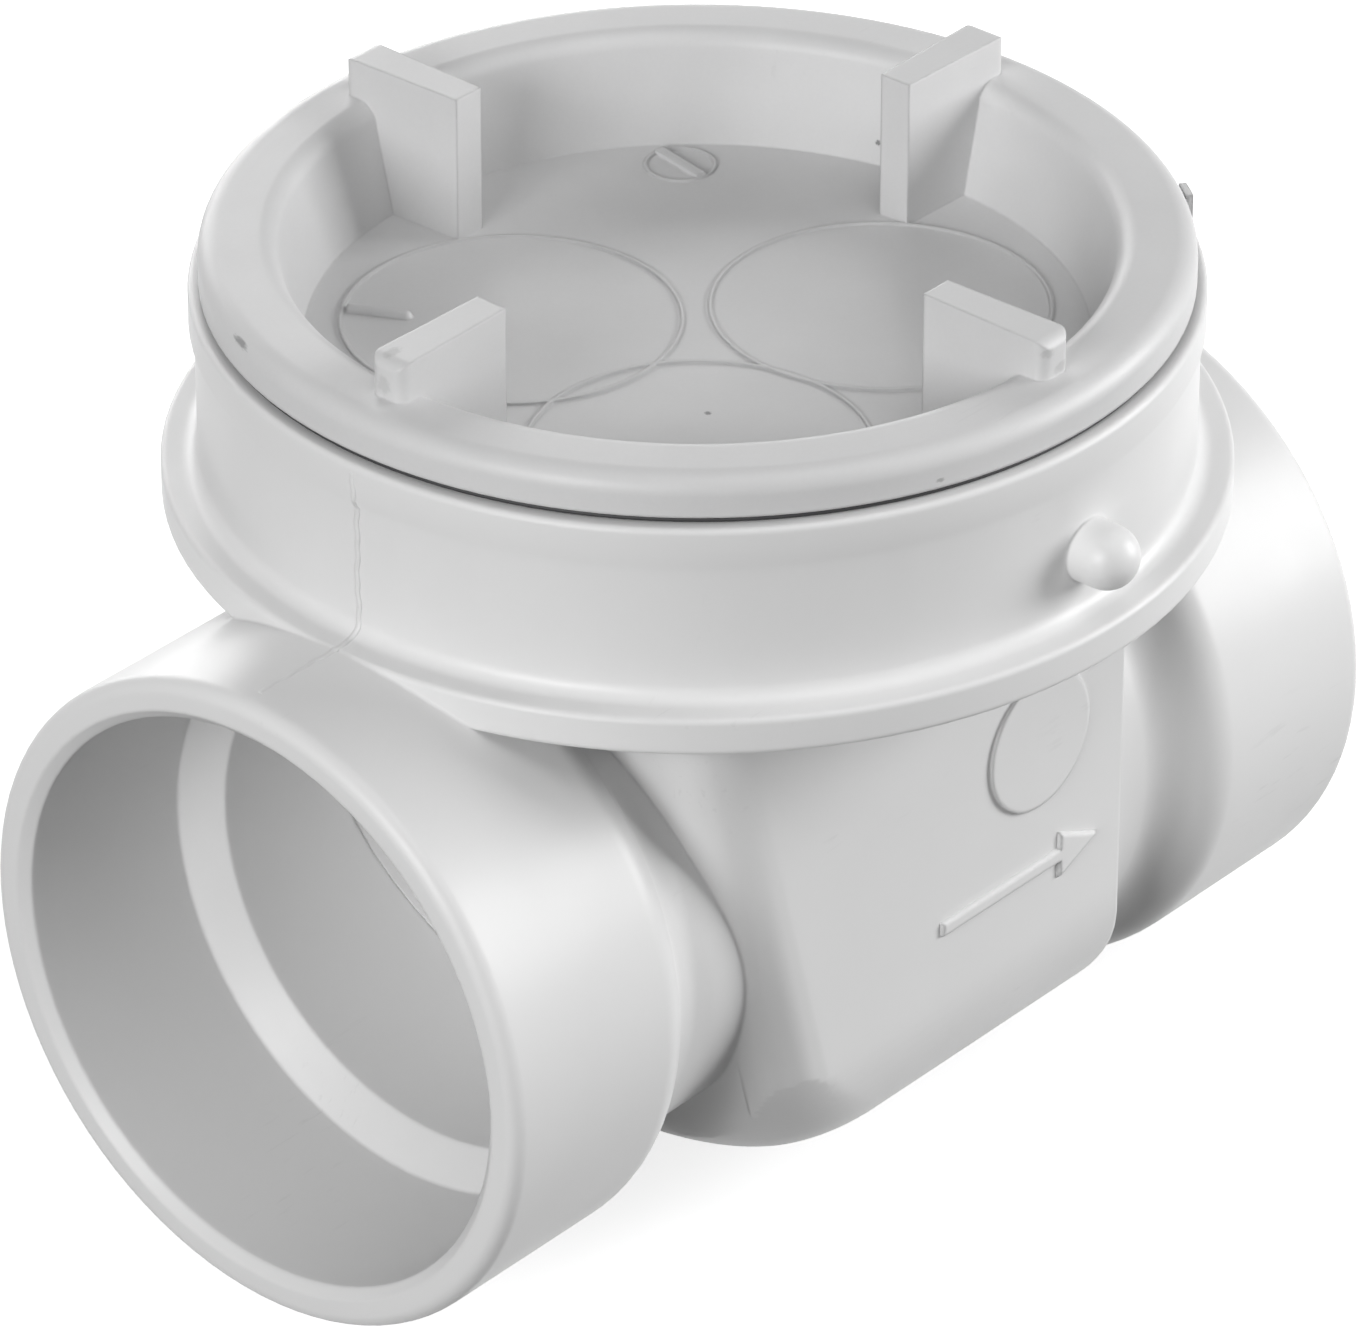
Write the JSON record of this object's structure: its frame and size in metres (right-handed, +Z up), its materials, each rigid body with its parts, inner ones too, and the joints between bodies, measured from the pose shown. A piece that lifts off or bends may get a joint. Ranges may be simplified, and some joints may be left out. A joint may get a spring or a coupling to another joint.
{
  "type": "backwater valve",
  "caption": "Inline plastic backwater valve with solvent-weld sockets, a screwed access cap with grip lugs, and a hinged flapper that falls shut on an inclined seat.",
  "frame": {"origin": "centre of the inlet pipe stop, on the inlet's axis", "axes": "+X along the flow, from the inlet to the outlet; +Z up, towards the access cap"},
  "size_m": [0.25, 0.2049, 0.2029],
  "materials": {
    "white_pvc": "satin moulded",
    "cap_pvc": "satin moulded",
    "inner_pvc": "satin moulded",
    "black_rubber": "matt",
    "stainless": "brushed"
  },
  "bodies": {
    "valve": {"valve_body": "white_pvc", "seat_ring": "inner_pvc", "hinge_pin": "stainless", "pin_clips": "stainless"},
    "flapper": {"flapper": "inner_pvc", "flapper_gasket": "black_rubber", "gasket_retainer": "inner_pvc", "retainer_screws": "stainless"},
    "cap_seal": {"cap_o_ring": "black_rubber"},
    "cap": {"access_cap": "cap_pvc"}
  },
  "joints": [
    {"name": "flapper_swing", "type": "hinge", "parent": "valve", "child": "flapper", "pos_m": [0.0276, 0, 0.0614], "axis": [0, -1, 0], "range_deg": [0, 45]},
    {"name": "cap_lift", "type": "slide", "parent": "valve", "child": "cap_seal", "axis": [0, 0, 1], "range_m": [0, 0.015]},
    {"name": "cap_turn", "type": "hinge", "parent": "cap_seal", "child": "cap", "pos_m": [0.084, 0, 0.104], "axis": [0, 0, 1], "range_deg": [0, 1080]}
  ],
  "couplings": [
    {"joint": "cap_lift", "follows": "cap_turn", "m_per_rad": 0.00079577}
  ]
}
